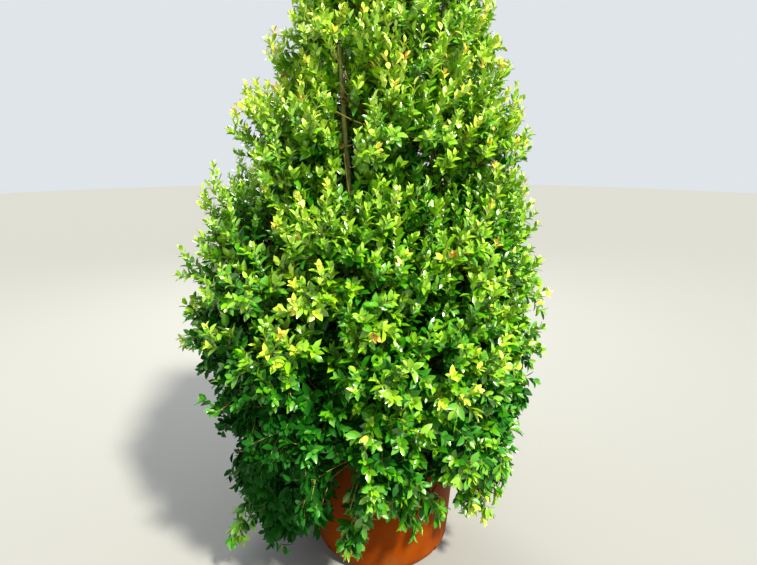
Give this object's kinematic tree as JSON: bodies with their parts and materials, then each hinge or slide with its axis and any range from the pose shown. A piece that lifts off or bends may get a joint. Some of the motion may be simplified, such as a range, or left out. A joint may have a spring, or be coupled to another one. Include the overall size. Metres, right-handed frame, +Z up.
{
  "type": "potted brush cherry shrub",
  "caption": "Bushy, leafy evergreen shrub with glossy green leaves, bare soil and a woody trunk, standing in a round terracotta-coloured plastic nursery pot with drain slots.",
  "frame": {"origin": "centre of the pot's flat underside", "axes": "+Z up along the plant's height; -Y faces the viewer and +X is to the viewer's right"},
  "size_m": [1.0808, 1.0524, 2.1138],
  "materials": {
    "pot": "matte moulded terracotta-orange plastic",
    "potting_mix": "loose dark bark and compost",
    "bark": "finely fissured grey-brown bark, greener and redder on young wood",
    "foliage": "glossy leathery leaves, dark to light green, with some bronze young tips"
  },
  "bodies": {
    "root": {"pot": "pot", "soil": "potting_mix", "trunk": "bark", "bough_lower_back_left": "bark", "bough_lower_back_right": "bark", "bough_lower_front_left": "bark", "bough_lower_front_right": "bark", "bough_lower_left": "bark", "bough_lower_right": "bark", "bough_middle_back": "bark", "bough_middle_back_left": "bark", "bough_middle_back_right": "bark", "bough_middle_front": "bark", "bough_middle_front_left": "bark", "bough_middle_front_right": "bark", "bough_skirt_back": "bark", "bough_skirt_back_left": "bark", "bough_skirt_back_right": "bark", "bough_skirt_front": "bark", "bough_skirt_front_left": "bark", "bough_skirt_front_right": "bark", "bough_upper_back_left": "bark", "foliage_high_back": "foliage", "foliage_high_front_left": "foliage", "foliage_high_front_right": "foliage", "foliage_lower_back_left": "foliage", "foliage_lower_back_right": "foliage", "foliage_lower_front_left": "foliage", "foliage_lower_front_right": "foliage", "foliage_lower_left": "foliage", "foliage_lower_right": "foliage", "foliage_middle_back": "foliage", "foliage_middle_back_left": "foliage", "foliage_middle_back_right": "foliage", "foliage_middle_front": "foliage", "foliage_middle_front_left": "foliage", "foliage_middle_front_right": "foliage", "foliage_skirt_back": "foliage", "foliage_skirt_back_left": "foliage", "foliage_skirt_back_right": "foliage", "foliage_skirt_front": "foliage", "foliage_skirt_front_left": "foliage", "foliage_skirt_front_right": "foliage", "foliage_top": "foliage", "foliage_upper_back_left": "foliage", "foliage_upper_back_right": "foliage", "foliage_upper_front": "foliage", "foliage_upper_front_left": "foliage", "foliage_upper_right": "foliage", "stem_back": "bark", "stem_left": "bark", "stem_right": "bark"}
  },
  "joints": []
}
